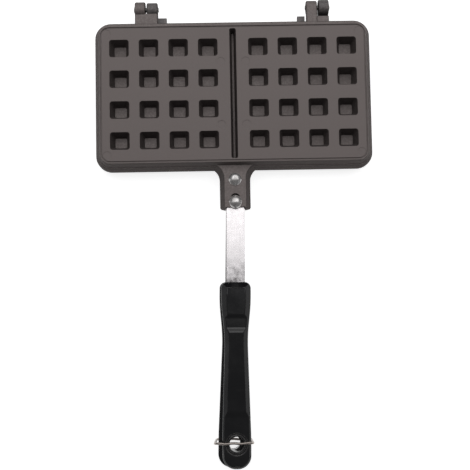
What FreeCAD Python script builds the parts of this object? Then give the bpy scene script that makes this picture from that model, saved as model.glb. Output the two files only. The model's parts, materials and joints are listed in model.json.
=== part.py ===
"""Stovetop waffle iron: two hinged cast plates, riveted strap handles with moulded grips and a locking ring.

Millimetres. The origin is the middle of the lower plate's outer face, +Z is up, +Y points to the hinges
and the handles run towards -Y. The upper half mirrors the lower one in the parting plane, apart from the
hinges and the splay of the handles. Every size is a cell of the sheet, and the features are bound
to its cells.
"""
import FreeCAD, Part
import math
import os
import Sketcher
from FreeCAD import Vector

# Sizes that can be set by themselves. Lengths are millimetres, angles are degrees.
DRIVING_SIZES = {
    # Outer form of one plate, from its rim at the parting plane to its face
    "rim_length": 236.0,
    "rim_width": 127.0,
    "rim_corner_radius": 13.5,
    "rim_height": 2.5,
    "band_height": 5.1,
    "band_inset": 2.1,
    "rear_flange": 1.5,
    "ledge_width": 0.6,
    "wall_height": 9.4,
    "wall_inset": 2.35,
    # Fine line cut just inside the edge of the face
    "lip_width": 0.7,
    "line_width": 1.2,
    "line_depth": 1.0,
    # Baking cavity
    "cavity_land": 5.2,
    "cavity_corner_radius": 8.5,
    "cavity_inset": 2.7,
    "face_thickness": 4.0,
    # Grid of studs, and the pockets in their backs
    "column_count": 4,
    "row_count": 4,
    "column_pitch": 25.0,
    "row_pitch": 26.3,
    "first_column": 21.2,
    "pocket_width": 16.5,
    "pocket_length": 14.9,
    "pocket_depth": 12.5,
    "pocket_inset": 3.25,
    "pocket_mouth_radius": 2.2,
    "pocket_floor_radius": 1.2,
    "stud_wall": 2.6,
    "stud_corner_radius": 2.6,
    "stud_tip_gap": 1.5,
    # Groove in the face between the halves, and the divider that it hollows out
    "groove_width": 5.6,
    "groove_length": 111.0,
    "groove_depth": 10.0,
    "groove_inset": 1.9,
    "groove_mouth_radius": 1.6,
    "groove_floor_radius": 0.6,
    "divider_tip_gap": 1.0,
    "divider_bite": 0.4,
    "divider_corner_radius": 1.2,
    # Round ejector marks in the face
    "mark_radius": 3.7,
    "mark_depth": 0.15,
    "inner_mark_x": 10.6,
    "inner_mark_y": 27.0,
    "outer_mark_x": 107.0,
    "outer_mark_y": 52.0,
    # Tang that carries the handle
    "tang_drop": 7.0,
    "tang_gap": 0.8,
    "tang_width": 26.0,
    "tang_top_width": 18.0,
    "tang_reach": 33.9,
    "tang_flare_radius": 12.0,
    "tang_flare_width": 28.0,
    "tang_root_depth": 2.5,
    "tang_end_radius": 2.0,
    "tang_roof": 4.0,
    "tang_notch": 1.6,
    "channel_clearance": 0.6,
    # Strap
    "strap_width": 15.4,
    "strap_thickness": 3.5,
    "strap_root_gap": 3.5,
    "strap_bare_length": 61.7,
    "strap_embedded_length": 66.0,
    "strap_corner_radius": 2.0,
    "strap_edge_radius": 0.5,
    # Rivets
    "rivet_radius": 2.5,
    "rivet_setback": 8.8,
    "rivet_spacing": 19.1,
    "rivet_head_radius": 5.6,
    "rivet_head_height": 3.2,
    "rivet_tail_radius": 3.9,
    "rivet_tail_height": 1.1,
    "rivet_hole_clearance": 0.3,
    "rivet_strap_clearance": 0.05,
    "slot_radius": 4.0,
    "slot_lead": 3.1,
    # Sideways splay of the two handles at the rivets
    "upper_splay": 0.7,
    "lower_splay": 1.6,
    # Grips
    "grip_gap": 0.5,
    "grip_length": 154.9,
    "grip_front_width": 24.9,
    "grip_front_radius": 5.2,
    "grip_shoulder": 18.0,
    "grip_neck": 46.0,
    "grip_neck_width": 19.1,
    "grip_eye_start": 127.0,
    "grip_eye_width": 24.0,
    "grip_end_radius": 11.2,
    "grip_bend_radius": 150.0,
    "grip_thickness": 13.5,
    "grip_chamfer": 4.6,
    "pad_length": 27.0,
    "dip_slope": 3.0,
    "dip_floor": 8.5,
    "dip_depth": 2.2,
    "ridge_drop": 0.5,
    "ridge_end": 107.0,
    "eye_slope": 5.0,
    "eye_drop": 2.7,
    "hang_hole_radius": 6.2,
    "hang_hole_setback": 20.6,
    "hang_ring_inset": 1.5,
    "hang_ring_width": 1.5,
    "hang_ring_depth": 0.6,
    "slot_clearance": 0.1,
    # Screw that holds each grip on its strap
    "screw_radius": 2.0,
    "screw_head_radius": 3.7,
    "screw_head_height": 1.3,
    "screw_length": 9.0,
    "screw_setback": 50.0,
    "screw_clearance": 0.15,
    "screw_slot_width": 1.0,
    "screw_slot_depth": 0.7,
    # Hinges
    "hinge_setback": 13.9,
    "web_gap": 0.2,
    "inner_knuckle_start": 64.05,
    "inner_knuckle_width": 9.4,
    "inner_knuckle_radius": 6.0,
    "knuckle_gap": 1.2,
    "outer_knuckle_width": 9.0,
    "outer_knuckle_radius": 6.8,
    "knuckle_edge_radius": 1.2,
    "knuckle_relief": 0.4,
    "lug_reach": 5.3,
    "lug_height": 4.4,
    "block_gap": 1.1,
    "block_width": 6.4,
    "block_reach": 6.7,
    "wall_bite": 3.5,
    "hinge_pin_radius": 2.0,
    "pin_running_clearance": 0.05,
    "pin_seat_clearance": 0.02,
    "pin_head_radius": 3.6,
    "pin_head_height": 1.2,
    "pin_end_length": 0.8,
    # Locking ring
    "ring_wire_radius": 1.05,
    "ring_top_width": 32.6,
    "ring_bottom_width": 30.0,
    "ring_corner_radius": 4.0,
    "ring_play": 1.2,
    "ring_rest_gap": 0.1,
    "ring_setback": 21.6,
    "ring_side_shift": 4.9,
    # Depth by which a cut runs past the solid that it opens
    "overrun": 1.0,
}

# Sizes that follow from those above.
DERIVED_SIZES = {
    "rim_half_length": "rim_length / 2",
    "rim_half_width": "rim_width / 2",
    "band_level": "rim_height + band_height",
    "half_height": "rim_height + band_height + wall_height",
    "crease_half_length": "rim_half_length - band_inset",
    "crease_half_width": "rim_half_width - band_inset",
    "crease_corner_radius": "rim_corner_radius - band_inset",
    "flange_shift": "rear_flange / 2",
    "flanged_rim_half_width": "rim_half_width + flange_shift",
    "flanged_crease_half_width": "crease_half_width + flange_shift",
    "foot_half_length": "crease_half_length - ledge_width",
    "foot_half_width": "crease_half_width - ledge_width",
    "foot_corner_radius": "crease_corner_radius - ledge_width",
    "face_half_length": "foot_half_length - wall_inset",
    "face_half_width": "foot_half_width - wall_inset",
    "face_corner_radius": "foot_corner_radius - wall_inset",
    "line_outer_half_length": "face_half_length - lip_width",
    "line_outer_half_width": "face_half_width - lip_width",
    "line_outer_radius": "face_corner_radius - lip_width",
    "line_inner_half_length": "line_outer_half_length - line_width",
    "line_inner_half_width": "line_outer_half_width - line_width",
    "line_inner_radius": "line_outer_radius - line_width",
    "cavity_half_length": "rim_half_length - cavity_land",
    "cavity_half_width": "rim_half_width - cavity_land",
    "ceiling_level": "half_height - face_thickness",
    "ceiling_half_length": "cavity_half_length - cavity_inset",
    "ceiling_half_width": "cavity_half_width - cavity_inset",
    "ceiling_corner_radius": "cavity_corner_radius - cavity_inset",
    "stud_tip_level": "stud_tip_gap",
    "first_row": "(row_count - 1) * row_pitch / 2",
    "pocket_half_width": "pocket_width / 2",
    "pocket_half_length": "pocket_length / 2",
    "pocket_floor_level": "half_height - pocket_depth",
    "pocket_floor_half_width": "pocket_half_width - pocket_inset",
    "pocket_floor_half_length": "pocket_half_length - pocket_inset",
    "stud_slope": "pocket_inset / pocket_depth",
    "stud_base_half_width": "pocket_half_width + stud_wall - stud_slope * face_thickness",
    "stud_base_half_length": "pocket_half_length + stud_wall - stud_slope * face_thickness",
    "stud_tip_half_width": "pocket_half_width + stud_wall - stud_slope * (half_height - stud_tip_gap)",
    "stud_tip_half_length": "pocket_half_length + stud_wall - stud_slope * (half_height - stud_tip_gap)",
    "groove_half_width": "groove_width / 2",
    "groove_half_length": "groove_length / 2",
    "groove_floor_level": "half_height - groove_depth",
    "groove_floor_half_width": "groove_half_width - groove_inset",
    "groove_floor_half_length": "groove_half_length - groove_inset",
    "groove_slope": "groove_inset / groove_depth",
    "divider_height": "half_height - divider_tip_gap",
    "divider_base_half_width": "groove_half_width + stud_wall - groove_slope * face_thickness",
    "divider_tip_half_width": "groove_half_width + stud_wall - groove_slope * divider_height",
    "divider_half_length": "cavity_half_width + divider_bite",
    "tang_top_level": "half_height - tang_drop",
    "tang_half_width": "tang_width / 2",
    "tang_top_half_width": "tang_top_width / 2",
    "tang_root": "rim_half_width - tang_root_depth",
    "tang_top_root": "crease_half_width - tang_root_depth",
    "tang_anchor": "tang_root - tang_flare_radius",
    "tang_end": "rim_half_width + tang_reach",
    "roof_end": "tang_end - tang_notch",
    "channel_end": "tang_end + overrun",
    "tang_cut_level": "tang_top_level + overrun",
    "strap_outer_level": "tang_top_level - tang_roof",
    "strap_inner_level": "strap_outer_level - strap_thickness",
    "strap_half_width": "strap_width / 2",
    "strap_start": "rim_half_width + strap_root_gap",
    "grip_front": "tang_end + strap_bare_length",
    "strap_end": "grip_front + strap_embedded_length",
    "channel_half_width": "strap_half_width + channel_clearance",
    "channel_start": "strap_start - channel_clearance",
    "rear_rivet": "rim_half_width + rivet_setback",
    "front_rivet": "rear_rivet + rivet_spacing",
    "handle_pivot": "rear_rivet + rivet_spacing / 2",
    "rivet_hole_radius": "rivet_radius + rivet_hole_clearance",
    "slot_y": "front_rivet - slot_lead",
    "strap_hole_radius": "rivet_radius + rivet_strap_clearance",
    "rivet_tail_level": "strap_inner_level - rivet_tail_height",
    "rivet_length": "tang_top_level - rivet_tail_level",
    "rivet_crown_radius": "(rivet_head_radius ^ 2 + rivet_head_height ^ 2) / (2 * rivet_head_height)",
    "rivet_crown_angle": "asin(1 - rivet_head_height / rivet_crown_radius)",
    "rivet_crown_base_level": "tang_top_level + rivet_head_height - rivet_crown_radius",
    "grip_end": "grip_front + grip_length",
    "grip_front_half_width": "grip_front_width / 2",
    "grip_shoulder_y": "grip_front + grip_shoulder",
    "grip_neck_y": "grip_front + grip_neck",
    "grip_neck_half_width": "grip_neck_width / 2",
    "grip_eye_y": "grip_front + grip_eye_start",
    "grip_eye_half_width": "grip_eye_width / 2",
    "grip_top_level": "grip_gap + grip_thickness",
    "cut_top_level": "grip_top_level + overrun",
    "grip_cut_width": "grip_front_width + 2 * overrun",
    "dip_level": "grip_top_level - dip_depth",
    "ridge_level": "grip_top_level - ridge_drop",
    "eye_level": "grip_top_level - eye_drop",
    "pad_end_y": "grip_front + pad_length",
    "dip_start_y": "pad_end_y + dip_slope",
    "dip_end_y": "dip_start_y + dip_floor",
    "ridge_start_y": "dip_end_y + dip_slope",
    "ridge_end_y": "grip_front + ridge_end",
    "eye_start_y": "ridge_end_y + eye_slope",
    "cut_end_y": "grip_end + overrun",
    "hang_hole_y": "grip_end - hang_hole_setback",
    "hang_ring_inner": "hang_hole_radius + hang_ring_inset",
    "hang_ring_outer": "hang_ring_inner + hang_ring_width",
    "grip_slot_level": "strap_inner_level - slot_clearance",
    "grip_slot_height": "strap_thickness + 2 * slot_clearance",
    "grip_slot_half_width": "strap_half_width + slot_clearance",
    "grip_slot_start": "grip_front - overrun",
    "grip_slot_end": "strap_end + slot_clearance",
    "screw_y": "grip_front + screw_setback",
    "screw_hole_radius": "screw_radius + screw_clearance",
    "screw_recess_radius": "screw_head_radius + screw_clearance",
    "screw_head_level": "strap_inner_level - screw_head_height",
    "screw_hole_level": "strap_inner_level + screw_length + screw_clearance",
    "screw_body_length": "screw_head_height + screw_length",
    "screw_slot_half_width": "screw_slot_width / 2",
    "screw_slot_half_length": "screw_head_radius + overrun",
    "upper_shift_x": "handle_pivot * sin(upper_splay)",
    "upper_shift_y": "handle_pivot * (cos(upper_splay) - 1)",
    "lower_shift_x": "handle_pivot * sin(lower_splay)",
    "lower_shift_y": "handle_pivot * (cos(lower_splay) - 1)",
    "hinge_y": "rim_half_width + hinge_setback",
    "web_root": "rim_half_width - wall_bite",
    "inner_knuckle_end": "inner_knuckle_start + inner_knuckle_width",
    "outer_knuckle_start": "inner_knuckle_end + knuckle_gap",
    "outer_knuckle_end": "outer_knuckle_start + outer_knuckle_width",
    "web_length": "hinge_y - web_root",
    "lug_length": "wall_bite + lug_reach",
    "lug_top_level": "web_gap + lug_height",
    "block_length": "wall_bite + block_reach",
    "block_end": "inner_knuckle_start - block_gap",
    "block_start": "block_end - block_width",
    "joined_block_end": "inner_knuckle_start + inner_knuckle_width / 2",
    "relief_radius": "inner_knuckle_radius + knuckle_relief",
    "relief_length": "outer_knuckle_start - inner_bore_start",
    "running_bore_radius": "hinge_pin_radius + pin_running_clearance",
    "seat_bore_radius": "hinge_pin_radius + pin_seat_clearance",
    "inner_bore_start": "inner_knuckle_start - overrun",
    "inner_bore_length": "inner_knuckle_width + 2 * overrun",
    "outer_bore_start": "outer_knuckle_start - overrun",
    "outer_bore_length": "outer_knuckle_width + 2 * overrun",
    "pin_start": "inner_knuckle_start - pin_end_length",
    "pin_length": "outer_knuckle_end - pin_start",
    "pin_crown_radius": "(pin_head_radius ^ 2 + pin_head_height ^ 2) / (2 * pin_head_height)",
    "pin_crown_angle": "asin(1 - pin_head_height / pin_crown_radius)",
    "pin_crown_centre": "outer_knuckle_end + pin_head_height - pin_crown_radius",
    "ring_y": "grip_end - ring_setback",
    "ring_top_half_width": "ring_top_width / 2",
    "ring_bottom_half_width": "ring_bottom_width / 2",
    "ring_top_level": "eye_level + ring_rest_gap + ring_wire_radius",
    "ring_bottom_level": "eye_level + ring_play - ring_rest_gap + ring_wire_radius",
}

UPPER = 1
LOWER = -1
SIDE_NAMES = {UPPER: "upper", LOWER: "lower"}
RIGHT = 1
LEFT = -1
HAND_NAMES = {RIGHT: "right", LEFT: "left"}
OUTER_KNUCKLE = {
    "start": "outer_knuckle_start",
    "end": "outer_knuckle_end",
    "radius": "outer_knuckle_radius",
    "bore_start": "outer_bore_start",
    "bore_length": "outer_bore_length",
}
INNER_KNUCKLE = {
    "start": "inner_knuckle_start",
    "end": "inner_knuckle_end",
    "radius": "inner_knuckle_radius",
    "bore_start": "inner_bore_start",
    "bore_length": "inner_bore_length",
}
EDGE_TOLERANCE_SHARE = 0.001

# Numbers by which a sketch knows its own axes and the points of its lines and arcs
LEVEL_AXIS = -1
UPRIGHT_AXIS = -2
START_POINT = 1
END_POINT = 2
CENTRE_POINT = 3

document = FreeCAD.newDocument("StovetopWaffleIron")
sheet = document.addObject("Spreadsheet::Sheet", "Sizes")


def fill_sheet():
    """Write the driving sizes as plain numbers and the derived ones as formulas, each with its alias."""
    row = 1
    for alias, size in DRIVING_SIZES.items():
        sheet.set("A%d" % row, alias)
        sheet.set("B%d" % row, str(size))
        sheet.setAlias("B%d" % row, alias)
        row += 1
    for alias, formula in DERIVED_SIZES.items():
        sheet.set("A%d" % row, alias)
        sheet.set("B%d" % row, "=" + formula)
        sheet.setAlias("B%d" % row, alias)
        row += 1
    document.recompute()


def number(size):
    """Value of a signed size name, such as "-rim_half_width", or of "0"."""
    if size == "0":
        return 0.0
    value = float(sheet.get(size.lstrip("-")))
    return -value if size.startswith("-") else value


def bound(size):
    """Expression of a signed size name."""
    if size.startswith("-"):
        return "-Sizes." + size[1:]
    return "Sizes." + size


def flipped(size):
    """The same size name with the other sign."""
    if size == "0":
        return size
    return size[1:] if size.startswith("-") else "-" + size


def signed(size, side):
    """A size name on the upper side, or its opposite on the lower side."""
    return size if side == UPPER else flipped(size)


def level_expression(side, level):
    """Height above the floor of a level that is counted from the parting plane, which is level "0"."""
    if level == "0":
        return "Sizes.half_height"
    return "Sizes.half_height %s Sizes.%s" % ("+" if side == UPPER else "-", level)


def new_body(label):
    """An empty body with its label."""
    body = document.addObject("PartDesign::Body", label)
    body.Label = label
    return body


def new_sketch(body, name, plane_role, offsets):
    """A sketch on one of the body's origin planes, with its offsets bound to the sheet."""
    sketch = body.newObject("Sketcher::SketchObject", name)
    plane = [feature for feature in body.Origin.OriginFeatures if feature.Role == plane_role][0]
    sketch.AttachmentSupport = (plane, [""])
    sketch.MapMode = "FlatFace"
    for axis, expression in offsets.items():
        sketch.setExpression("AttachmentOffset.Base." + axis, expression)
    return sketch


def place_point(sketch, geometry, position, x, y):
    """Hold a point of the sketch at two named distances from the sketch's origin."""
    for kind, axis, size in (("DistanceX", UPRIGHT_AXIS, x), ("DistanceY", LEVEL_AXIS, y)):
        if size == "0":
            sketch.addConstraint(Sketcher.Constraint("PointOnObject", geometry, position, axis))
        else:
            index = sketch.addConstraint(
                Sketcher.Constraint(kind, LEVEL_AXIS, START_POINT, geometry, position, number(size))
            )
            sketch.setExpression("Constraints[%d]" % index, bound(size))


def corner_arc(before, corner, after, radius):
    """Arc that rounds a corner, its two tangent points, and whether it turns to the left."""
    towards_before = (before - corner).normalize()
    towards_after = (after - corner).normalize()
    half_angle = towards_before.getAngle(towards_after) / 2
    tangent_length = radius / math.tan(half_angle)
    middle = (towards_before + towards_after).normalize()
    centre = corner + middle * (radius / math.sin(half_angle))
    entry = corner + towards_before * tangent_length
    leave = corner + towards_after * tangent_length
    turns_left = (corner - before).cross(after - corner).z > 0
    first, last = (entry, leave) if turns_left else (leave, entry)
    start = math.atan2(first.y - centre.y, first.x - centre.x)
    end = math.atan2(last.y - centre.y, last.x - centre.x)
    if end < start:
        end += 2 * math.pi
    arc = Part.ArcOfCircle(Part.Circle(centre, Vector(0, 0, 1), radius), start, end)
    return arc, entry, leave, turns_left


def draw_outline(sketch, corners):
    """Closed outline through named corners (x, y, radius), where a radius of None leaves it sharp."""
    points = [Vector(number(x), number(y), 0) for x, y, _ in corners]
    count = len(corners)
    entries, leaves, arcs = list(points), list(points), {}
    for index, (_, _, radius) in enumerate(corners):
        if radius:
            arc, entries[index], leaves[index], turns_left = corner_arc(
                points[index - 1], points[index], points[(index + 1) % count], number(radius)
            )
            arcs[index] = (sketch.addGeometry(arc, False), turns_left)
    lines = [
        sketch.addGeometry(Part.LineSegment(leaves[index], entries[(index + 1) % count]), False)
        for index in range(count)
    ]
    for index, (x, y, radius) in enumerate(corners):
        line_in, line_out = lines[index - 1], lines[index]
        if not radius:
            sketch.addConstraint(
                Sketcher.Constraint("Coincident", line_in, END_POINT, line_out, START_POINT)
            )
            place_point(sketch, line_out, START_POINT, x, y)
            continue
        arc, turns_left = arcs[index]
        arc_in, arc_out = (START_POINT, END_POINT) if turns_left else (END_POINT, START_POINT)
        sketch.addConstraint(Sketcher.Constraint("Tangent", line_in, END_POINT, arc, arc_in))
        sketch.addConstraint(Sketcher.Constraint("Tangent", arc, arc_out, line_out, START_POINT))
        radius_index = sketch.addConstraint(Sketcher.Constraint("Radius", arc, number(radius)))
        sketch.setExpression("Constraints[%d]" % radius_index, bound(radius))
        corner = sketch.addGeometry(Part.Point(points[index]), True)
        sketch.addConstraint(Sketcher.Constraint("PointOnObject", corner, START_POINT, line_in))
        sketch.addConstraint(Sketcher.Constraint("PointOnObject", corner, START_POINT, line_out))
        place_point(sketch, corner, START_POINT, x, y)


def draw_rectangle(sketch, half_x, half_y, radius):
    """Rounded rectangle about the sketch's origin."""
    draw_outline(
        sketch,
        [
            (half_x, half_y, radius),
            (flipped(half_x), half_y, radius),
            (flipped(half_x), flipped(half_y), radius),
            (half_x, flipped(half_y), radius),
        ],
    )


def draw_circle(sketch, x, y, radius):
    """Circle at a named place."""
    circle = Part.Circle(Vector(number(x), number(y), 0), Vector(0, 0, 1), number(radius))
    geometry = sketch.addGeometry(circle, False)
    place_point(sketch, geometry, CENTRE_POINT, x, y)
    index = sketch.addConstraint(Sketcher.Constraint("Radius", geometry, number(radius)))
    sketch.setExpression("Constraints[%d]" % index, bound(radius))


def volume_of(body):
    """Volume of the body so far."""
    return 0.0 if body.Shape.isNull() else body.Shape.Volume


def finish_feature(body, feature, volume_before, cuts):
    """Recompute the feature, and stop unless a cut took material away or anything else added some."""
    document.recompute()
    if (volume_of(body) < volume_before) != cuts or volume_of(body) == volume_before:
        raise RuntimeError("no %s by %s" % ("cut" if cuts else "growth", feature.Name))
    return feature


def add_feature(body, kind, name, sketch, length, backwards=False, symmetric=False):
    """Pad or pocket of a sketch, with its length bound to the sheet."""
    volume_before = volume_of(body)
    feature = body.newObject("PartDesign::" + kind, name)
    feature.Profile = (sketch, [""])
    feature.setExpression("Length", bound(length))
    feature.Reversed = backwards
    if symmetric:
        feature.SideType = "Symmetric"
    return finish_feature(body, feature, volume_before, kind == "Pocket")


def add_loft(body, name, sketches, subtractive=False):
    """Straight-sided loft through sketches."""
    kind = "PartDesign::SubtractiveLoft" if subtractive else "PartDesign::AdditiveLoft"
    volume_before = volume_of(body)
    feature = body.newObject(kind, name)
    feature.Profile = (sketches[0], [""])
    feature.Sections = [(sketch, [""]) for sketch in sketches[1:]]
    feature.Ruled = True
    return finish_feature(body, feature, volume_before, subtractive)


def rectangle_loft(body, name, side, centre, sections, subtractive=False):
    """Loft through rounded rectangles, each (level, half x, half y, radius), at a named centre."""
    sketches = []
    for index, (level, half_x, half_y, radius) in enumerate(sections):
        offsets = {"z": level_expression(side, level)}
        offsets.update({axis: bound(size) for axis, size in centre.items()})
        sketch = new_sketch(body, "%s_section_%d" % (name, index), "XY_Plane", offsets)
        draw_rectangle(sketch, half_x, half_y, radius)
        sketches.append(sketch)
    return add_loft(body, name, sketches, subtractive)


def axis_of(body, role):
    """One of the body's origin axes or planes, as a pattern's direction."""
    return ([feature for feature in body.Origin.OriginFeatures if feature.Role == role][0], [""])


def repeat_on_grid(body, name, feature, cuts):
    """Repeat a feature over the columns and rows of one half, and mirror it to the other half."""
    volume_before = volume_of(body)
    transform = body.newObject("PartDesign::MultiTransform", name)
    transform.Originals = [feature]
    across = body.newObject("PartDesign::LinearPattern", name + "_columns")
    across.Direction = axis_of(body, "X_Axis")
    along = body.newObject("PartDesign::LinearPattern", name + "_rows")
    along.Direction = axis_of(body, "Y_Axis")
    for pattern, pitch, count in (
        (across, "column_pitch", "column_count"),
        (along, "row_pitch", "row_count"),
    ):
        pattern.Mode = "Spacing"
        pattern.setExpression("Offset", bound(pitch))
        pattern.setExpression("Occurrences", bound(count))
    mirror = body.newObject("PartDesign::Mirrored", name + "_halves")
    mirror.MirrorPlane = axis_of(body, "YZ_Plane")
    transform.Transformations = [across, along, mirror]
    transform.Refine = False
    body.Tip = transform
    return finish_feature(body, transform, volume_before, cuts)


def edges_where(feature, test):
    """Names of the feature's edges that pass a test of their box and their ends."""
    return ["Edge%d" % (index + 1) for index, edge in enumerate(feature.Shape.Edges) if test(edge)]


def add_dressing(body, kind, name, feature, elements, size):
    """Fillet or chamfer on named elements of a feature, with its size bound to the sheet."""
    volume_before = volume_of(body)
    dressing = body.newObject("PartDesign::" + kind, name)
    dressing.Base = (feature, elements)
    dressing.setExpression("Radius" if kind == "Fillet" else "Size", bound(size))
    return finish_feature(body, dressing, volume_before, cuts=True)


def add_outline_feature(body, name, side, level, corners, kind, length, backwards):
    """Pad or pocket of one named outline drawn level with the floor."""
    sketch = new_sketch(body, name + "_sketch", "XY_Plane", {"z": level_expression(side, level)})
    draw_outline(sketch, corners)
    return add_feature(body, kind, name, sketch, length, backwards)


def add_circles_cut(body, name, side, level, circles, length, outwards=True):
    """Round holes cut from a level, away from the parting plane or towards it."""
    sketch = new_sketch(body, name + "_sketch", "XY_Plane", {"z": level_expression(side, level)})
    for x, y, radius in circles:
        draw_circle(sketch, x, y, radius)
    return add_feature(body, "Pocket", name, sketch, length, outwards == (side == UPPER))


def handle_box(half_width, start, end):
    """Corners of a rectangle along the handle, between two distances from the middle of the plate."""
    return [
        ("-" + half_width, "-" + start, None),
        ("-" + half_width, "-" + end, None),
        (half_width, "-" + end, None),
        (half_width, "-" + start, None),
    ]


def add_plate_shell(body, side):
    """Drafted outer form: a rim and its sloping band, a narrow ledge, and a steeper wall up to the face."""
    rectangle_loft(body, "rim", side, {"y": "flange_shift"}, [
        ("0", "rim_half_length", "flanged_rim_half_width", "rim_corner_radius"),
        ("rim_height", "rim_half_length", "flanged_rim_half_width", "rim_corner_radius"),
        ("band_level", "crease_half_length", "flanged_crease_half_width", "crease_corner_radius"),
    ])
    rectangle_loft(body, "wall", side, {}, [
        ("band_level", "foot_half_length", "foot_half_width", "foot_corner_radius"),
        ("half_height", "face_half_length", "face_half_width", "face_corner_radius"),
    ])


def tang_corners(half_width, root):
    """Outline of the tang at one level, flared where it meets the plate."""
    return [
        ("-tang_flare_width", "-tang_anchor", None),
        ("-tang_flare_width", "-" + root, None),
        ("-" + half_width, "-" + root, "tang_flare_radius"),
        ("-" + half_width, "-tang_end", "tang_end_radius"),
        (half_width, "-tang_end", "tang_end_radius"),
        (half_width, "-" + root, "tang_flare_radius"),
        ("tang_flare_width", "-" + root, None),
        ("tang_flare_width", "-tang_anchor", None),
    ]


def add_tang(body, side):
    """Tang with sloping flanks, still solid."""
    sketches = []
    for name, level, half_width, root in (
        ("tang_base", "tang_gap", "tang_half_width", "tang_root"),
        ("tang_top", "tang_top_level", "tang_top_half_width", "tang_top_root"),
    ):
        sketch = new_sketch(body, name, "XY_Plane", {"z": level_expression(side, level)})
        draw_outline(sketch, tang_corners(half_width, root))
        sketches.append(sketch)
    add_loft(body, "tang", sketches)


def cut_tang(body, side):
    """Channel for the strap under the tang's roof, the roof's short end and the rivet holes."""
    outwards = side == UPPER
    add_outline_feature(body, "channel", side, "0",
                        handle_box("channel_half_width", "channel_start", "channel_end"),
                        "Pocket", "strap_outer_level", outwards)
    add_outline_feature(body, "roof_notch", side, "0",
                        handle_box("channel_half_width", "roof_end", "channel_end"),
                        "Pocket", "tang_cut_level", outwards)
    add_circles_cut(body, "rivet_holes", side, "0", [
        ("0", "-rear_rivet", "rivet_hole_radius"),
        ("0", "-front_rivet", "rivet_hole_radius"),
    ], "tang_cut_level")
    add_circles_cut(body, "front_slot", side, "0", [("0", "-slot_y", "slot_radius")], "tang_cut_level")


def cut_cavity(body, side):
    """Hollow the plate between its rim and its face."""
    rectangle_loft(body, "cavity", side, {}, [
        ("0", "cavity_half_length", "cavity_half_width", "cavity_corner_radius"),
        ("ceiling_level", "ceiling_half_length", "ceiling_half_width", "ceiling_corner_radius"),
    ], subtractive=True)


def add_studs(body, side):
    """Grid of hollow studs: the solid studs stand on the cavity's floor, and pockets open their backs."""
    centre = {"x": "first_column", "y": "-first_row"}
    stud = rectangle_loft(body, "stud", side, centre, [
        ("ceiling_level", "stud_base_half_width", "stud_base_half_length", "stud_corner_radius"),
        ("stud_tip_level", "stud_tip_half_width", "stud_tip_half_length", "stud_corner_radius"),
    ])
    repeat_on_grid(body, "studs", stud, cuts=False)
    pocket = rectangle_loft(body, "pocket", side, centre, [
        ("half_height", "pocket_half_width", "pocket_half_length", "pocket_mouth_radius"),
        ("pocket_floor_level", "pocket_floor_half_width", "pocket_floor_half_length", "pocket_floor_radius"),
    ], subtractive=True)
    repeat_on_grid(body, "pockets", pocket, cuts=True)


def add_divider(body, side):
    """Divider between the two halves of the cavity, hollowed by the groove in the face."""
    rectangle_loft(body, "divider", side, {}, [
        ("ceiling_level", "divider_base_half_width", "divider_half_length", "divider_corner_radius"),
        ("divider_tip_gap", "divider_tip_half_width", "divider_half_length", "divider_corner_radius"),
    ])
    rectangle_loft(body, "groove", side, {}, [
        ("half_height", "groove_half_width", "groove_half_length", "groove_mouth_radius"),
        ("groove_floor_level", "groove_floor_half_width", "groove_floor_half_length", "groove_floor_radius"),
    ], subtractive=True)


def cut_face_marks(body, side):
    """Fine line inside the edge of the face, and the round ejector marks."""
    inwards = side == LOWER
    sketch = new_sketch(body, "line_sketch", "XY_Plane", {"z": level_expression(side, "half_height")})
    draw_rectangle(sketch, "line_outer_half_length", "line_outer_half_width", "line_outer_radius")
    draw_rectangle(sketch, "line_inner_half_length", "line_inner_half_width", "line_inner_radius")
    add_feature(body, "Pocket", "line", sketch, "line_depth", inwards)
    circles = []
    for x, y in (("inner_mark_x", "inner_mark_y"), ("outer_mark_x", "outer_mark_y")):
        circles += [(sx, sy, "mark_radius") for sx in (x, flipped(x)) for sy in (y, flipped(y))]
    add_circles_cut(body, "marks", side, "half_height", circles, "mark_depth", outwards=False)


def handed(size, hand):
    """A size name on the right hand, or its opposite on the left."""
    return size if hand == RIGHT else flipped(size)


def cut_across(body, name, hand, start, length, radius):
    """Round cut about the hinge axis, from a distance from the middle and outwards along one hinge."""
    sketch = new_sketch(body, name + "_sketch", "YZ_Plane", {
        "z": bound(handed(start, hand)), "y": "Sizes.half_height",
    })
    draw_circle(sketch, "hinge_y", "0", radius)
    return add_feature(body, "Pocket", name, sketch, length, backwards=hand == RIGHT)


def add_barrel(body, name, hand, knuckle):
    """Round knuckle about the hinge axis, with rounded ends."""
    sketch = new_sketch(body, name + "_sketch", "XY_Plane", {"y": "Sizes.hinge_y", "z": "Sizes.half_height"})
    start = handed(knuckle["start"], hand)
    end = handed(knuckle["end"], hand)
    draw_outline(sketch, [
        (start, "0", None),
        (end, "0", None),
        (end, knuckle["radius"], "knuckle_edge_radius"),
        (start, knuckle["radius"], "knuckle_edge_radius"),
    ])
    volume_before = volume_of(body)
    barrel = body.newObject("PartDesign::Revolution", name)
    barrel.Profile = (sketch, [""])
    barrel.ReferenceAxis = (sketch, ["H_Axis"])
    return finish_feature(body, barrel, volume_before, cuts=False)


def add_foot(body, name, hand, side, length, ends, top_level):
    """Foot of a hinge: a block from inside the back wall, its outer edges rounded like the knuckle's ends."""
    placing = {"z": "-Sizes.web_root", "y": "Sizes.half_height"}
    sketch = new_sketch(body, name + "_sketch", "XZ_Plane", placing)
    start, end = (handed(size, hand) for size in ends)
    near, far = (signed(level, side) for level in ("web_gap", top_level))
    draw_outline(sketch, [
        (start, near, None),
        (end, near, None),
        (end, far, "knuckle_edge_radius"),
        (start, far, "knuckle_edge_radius"),
    ])
    return add_feature(body, "Pad", name, sketch, length, backwards=True)


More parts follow.
